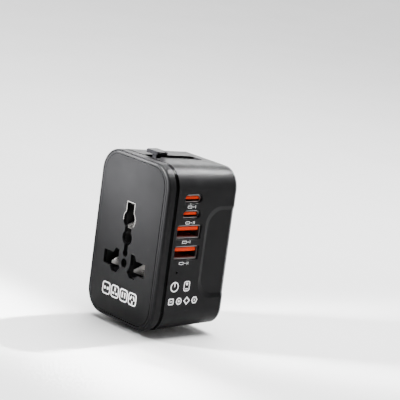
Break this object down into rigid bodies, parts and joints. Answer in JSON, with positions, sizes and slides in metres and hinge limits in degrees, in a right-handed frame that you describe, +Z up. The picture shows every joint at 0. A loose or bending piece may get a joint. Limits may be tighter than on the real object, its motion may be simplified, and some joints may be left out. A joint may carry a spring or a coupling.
{
  "type": "universal travel adapter",
  "caption": "Rounded block travel adapter with a multi-standard front socket, sliding flat-pin plugs, flip-out round-pin plug, flip-out earth pin and side charging ports.",
  "frame": {"origin": "centre of the bottom of the whole object's box, under the lower slider knob", "axes": "+X towards the charging ports, +Y out of the rear face with the plugs, +Z up along the adapter's length"},
  "size_m": [0.0488, 0.0396, 0.08],
  "materials": {
    "face_plastic": "satin, very fine moulded grain",
    "casing_plastic": "satin, very fine moulded grain",
    "accent_gloss": "high gloss black",
    "rear_plastic": "satin, fine brushed grain",
    "inner_plastic": "matt black",
    "plug_plastic": "satin",
    "sleeve_plastic": "matt black insulation",
    "nickel_pin": "bright nickel plate",
    "steel": "bright zinc plated steel",
    "port_steel": "formed stainless sheet",
    "contact_brass": "tinned phosphor bronze sheet",
    "orange_plastic": "moulded orange insulator",
    "port_lining": "dark red-brown lining",
    "knob_plastic": "polished, with a crisp highlight",
    "circuit_board": "green solder mask",
    "chip_black": "moulded epoxy",
    "ferrite": "sintered ferrite",
    "winding_tape": "yellow insulating tape",
    "capacitor_sleeve": "printed shrink sleeve",
    "fuse_ceramic": "white ceramic",
    "white_print": "pad-printed ink",
    "dark_print": "pad-printed ink",
    "gold_plate": "gold-plated contact",
    "clear_light": "clear acrylic"
  },
  "bodies": {
    "casing": {"face_plate": "face_plastic", "front_bezel": "casing_plastic", "accent_ring": "accent_gloss", "main_shell": "casing_plastic", "rear_cover": "rear_plastic", "plug_well": "inner_plastic", "front_screws": "steel", "eu_hinge_pin": "steel", "earth_hinge_pin": "steel", "contact_carrier": "inner_plastic", "line_contact": "contact_brass", "neutral_contact": "contact_brass", "earth_contact": "contact_brass", "line_busbar": "contact_brass", "neutral_busbar": "contact_brass", "fuse_link": "fuse_ceramic", "fuse_caps": "nickel_pin", "fuse_clips": "contact_brass", "usb_board": "circuit_board", "usb_controller": "chip_black", "usb_c_shells": "port_steel", "usb_c_tongues": "orange_plastic", "usb_a_shells": "port_steel", "usb_a_tongues": "orange_plastic", "usb_a_liners": "port_lining", "power_board": "circuit_board", "transformer_core": "ferrite", "transformer_winding": "winding_tape", "input_capacitors": "capacitor_sleeve", "output_capacitor": "capacitor_sleeve", "rectifier": "chip_black", "status_led": "clear_light", "led_light_pipe": "clear_light"},
    "eu_plug": {"eu_plug_body": "plug_plastic", "eu_plug_base": "inner_plastic", "eu_pins": "nickel_pin", "eu_pin_sleeves": "sleeve_plastic"},
    "earth_pin": {"uk_earth_pin": "plug_plastic"},
    "uk_slider": {"uk_carriage": "inner_plastic", "uk_knob": "knob_plastic", "uk_pins": "nickel_pin"},
    "us_slider": {"us_carriage": "inner_plastic", "us_knob": "knob_plastic"},
    "us_left_unit": {"us_swivel_left": "inner_plastic", "us_blade_left": "nickel_pin"},
    "us_right_unit": {"us_swivel_right": "inner_plastic", "us_blade_right": "nickel_pin"}
  },
  "joints": [
    {"name": "eu_flip", "type": "hinge", "parent": "casing", "child": "eu_plug", "pos_m": [0, 0.01675, 0.0587], "axis": [1, 0, 0], "range_deg": [0, 90]},
    {"name": "earth_flip", "type": "hinge", "parent": "casing", "child": "earth_pin", "pos_m": [0, 0.01675, 0.0352], "axis": [1, 0, 0], "range_deg": [0, 90]},
    {"name": "uk_slide", "type": "slide", "parent": "casing", "child": "uk_slider", "axis": [0, 1, 0], "range_m": [0, 0.018]},
    {"name": "us_slide", "type": "slide", "parent": "casing", "child": "us_slider", "axis": [0, 1, 0], "range_m": [0, 0.018]},
    {"name": "us_left_swivel", "type": "hinge", "parent": "us_slider", "child": "us_left_unit", "pos_m": [-0.00635, 0.00025, 0.06935], "axis": [0, 1, 0], "range_deg": [-30, 30]},
    {"name": "us_right_swivel", "type": "hinge", "parent": "us_slider", "child": "us_right_unit", "pos_m": [0.00635, 0.00025, 0.06935], "axis": [0, 1, 0], "range_deg": [-30, 30]}
  ]
}
